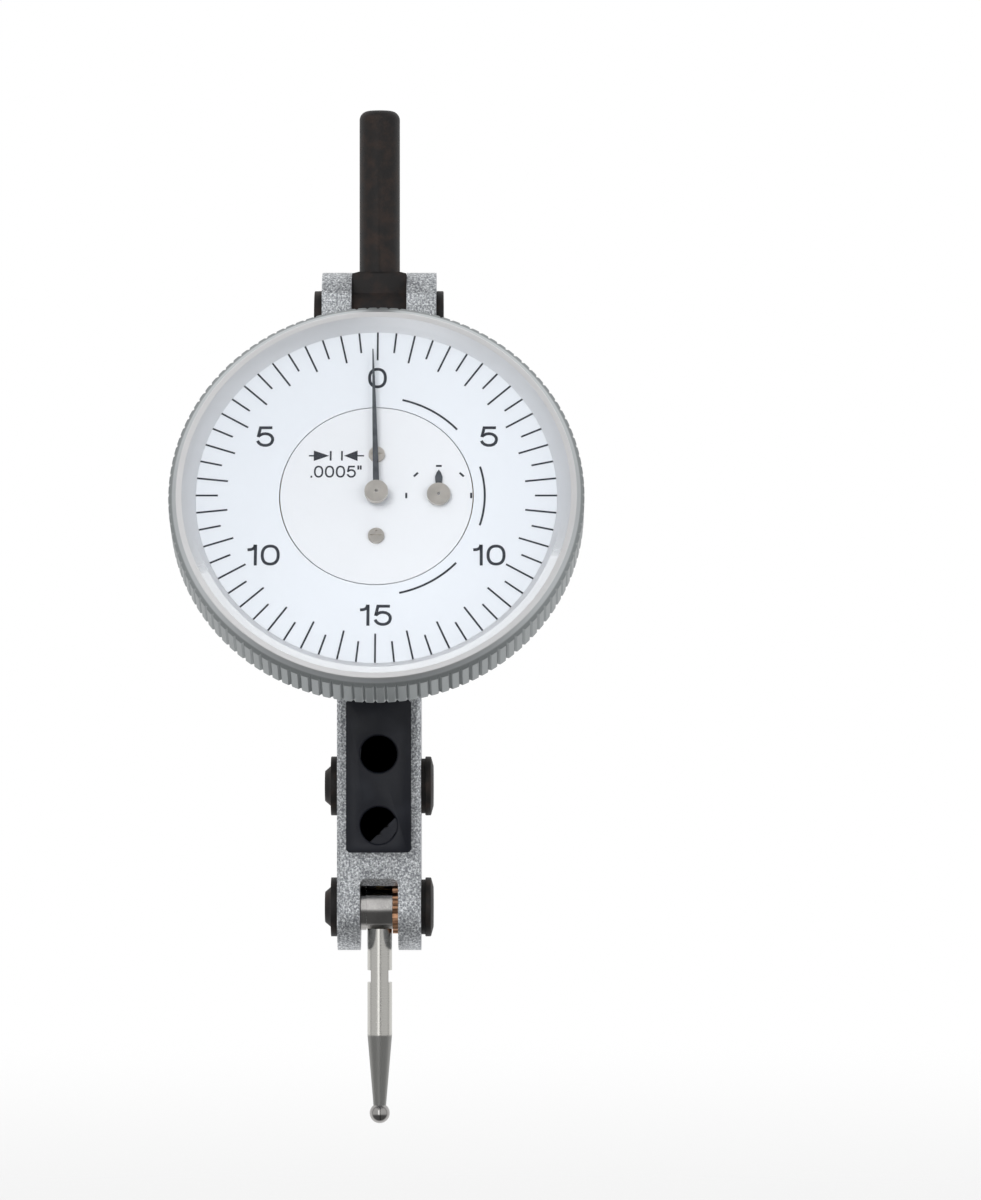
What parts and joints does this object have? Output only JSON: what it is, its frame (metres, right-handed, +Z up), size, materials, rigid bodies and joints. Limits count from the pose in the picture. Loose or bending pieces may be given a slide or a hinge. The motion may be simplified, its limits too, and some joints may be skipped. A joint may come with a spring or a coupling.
{
  "type": "dial test indicator",
  "caption": "Lever-type dial test indicator with a tilted round dial, serrated bezel, swivelling stem, dovetail rails and a ball-tipped stylus that pivots in a fork.",
  "frame": {"origin": "on the stem's axis at its shoulder, where the stem leaves its swivel block", "axes": "+Z up the stem, -Y the side the dial faces, +X to the dial's right"},
  "size_m": [0.0398, 0.0292, 0.0996],
  "materials": {
    "satin_casting": "fine blasted satin chrome",
    "blue_black_steel": "satin blue-black oxide",
    "black_steel": "matt brown-black oxide",
    "bearing_steel": "ground",
    "satin_bezel": "satin chrome",
    "dial_enamel": "matt off-white dial paint",
    "clear_crystal": "clear polished acrylic",
    "nickel": "bright nickel",
    "gilt_brass": "gilt",
    "ruby": "polished ruby",
    "spring_bronze": "bright bronze",
    "hand_black": "black paint",
    "polished_steel": "dark polish",
    "carbide_steel": "ground, darker at the taper"
  },
  "bodies": {
    "housing": {"body_casting": "satin_casting", "front_dovetail": "blue_black_steel", "rear_dovetail": "blue_black_steel", "dovetail_screws": "blue_black_steel", "swivel_bolt": "black_steel", "swivel_nut": "black_steel", "lever_pivot_bush": "black_steel", "lever_pivot_screw": "black_steel", "lever_bearings": "bearing_steel", "contact_pivot_bush": "black_steel", "contact_pivot_screw": "black_steel", "contact_bearings": "bearing_steel", "bezel_retainer": "bearing_steel", "centre_dial": "dial_enamel", "dial_screws": "nickel", "movement_plate": "gilt_brass", "movement_plate_screws": "nickel", "train_bracket": "gilt_brass", "bracket_screws": "nickel", "centre_jewels": "ruby", "counter_jewel": "ruby", "crown_jewels": "ruby", "hairspring": "spring_bronze", "hairspring_stud": "bearing_steel"},
    "bezel": {"bezel_ring": "satin_bezel", "crystal": "clear_crystal", "outer_dial": "dial_enamel"},
    "swivel_stem": {"stem": "black_steel"},
    "rocker": {"rocker": "polished_steel", "rocker_pin": "bearing_steel", "friction_washer": "spring_bronze"},
    "stylus": {"contact_barrel": "polished_steel", "contact_point": "carbide_steel", "contact_ball": "polished_steel"},
    "lever": {"lever_arm": "gilt_brass", "lever_shaft": "bearing_steel", "lever_spring": "bearing_steel", "sector_gear": "gilt_brass", "sector_rivets": "bearing_steel"},
    "crown": {"crown_arbor": "bearing_steel", "crown_wheel": "gilt_brass"},
    "centre": {"centre_arbor": "bearing_steel", "counter_pinion": "gilt_brass", "hairspring_collet": "gilt_brass", "main_hand": "hand_black", "main_hand_cap": "nickel"},
    "counter": {"counter_arbor": "bearing_steel", "counter_wheel": "gilt_brass", "counter_hand": "hand_black", "counter_hand_cap": "nickel"}
  },
  "joints": [
    {"name": "stem_swivel", "type": "hinge", "parent": "housing", "child": "swivel_stem", "pos_m": [0, 0, -0.0047], "axis": [1, 0, 0], "range_deg": [-90, 60]},
    {"name": "bezel_turn", "type": "hinge", "parent": "housing", "child": "bezel", "pos_m": [0, -0.0154, -0.02222], "axis": [0, 0.9212, -0.3891], "continuous": true},
    {"name": "rocker_swing", "type": "hinge", "parent": "housing", "child": "rocker", "pos_m": [0, 0, -0.0624], "axis": [-1, 0, 0], "range_deg": [0, 4.3], "stiffness_Nm_per_rad": 0.01, "springref_deg": -17.19},
    {"name": "stylus_set", "type": "hinge", "parent": "rocker", "child": "stylus", "pos_m": [0, 0, -0.0624], "axis": [-1, 0, 0], "range_deg": [-105, 105]},
    {"name": "lever_swing", "type": "hinge", "parent": "housing", "child": "lever", "pos_m": [0, 0, -0.0505], "axis": [1, 0, 0], "range_deg": [0, 5]},
    {"name": "crown_turn", "type": "hinge", "parent": "housing", "child": "crown", "pos_m": [0, -0.00343, -0.02728], "axis": [-1, 0, 0], "range_deg": [0, 90]},
    {"name": "hand_turn", "type": "hinge", "parent": "housing", "child": "centre", "pos_m": [0, -0.0154, -0.02222], "axis": [0, 0.9212, -0.3891], "range_deg": [0, 720]},
    {"name": "counter_turn", "type": "hinge", "parent": "housing", "child": "counter", "pos_m": [0.00595, -0.0154, -0.02222], "axis": [0, 0.9212, -0.3891], "range_deg": [-90, 0]}
  ],
  "couplings": [
    {"joint": "lever_swing", "follows": "rocker_swing", "ratio": 1.1624},
    {"joint": "crown_turn", "follows": "rocker_swing", "ratio": 20.923},
    {"joint": "hand_turn", "follows": "rocker_swing", "ratio": 167.39},
    {"joint": "counter_turn", "follows": "rocker_swing", "ratio": -20.923}
  ]
}
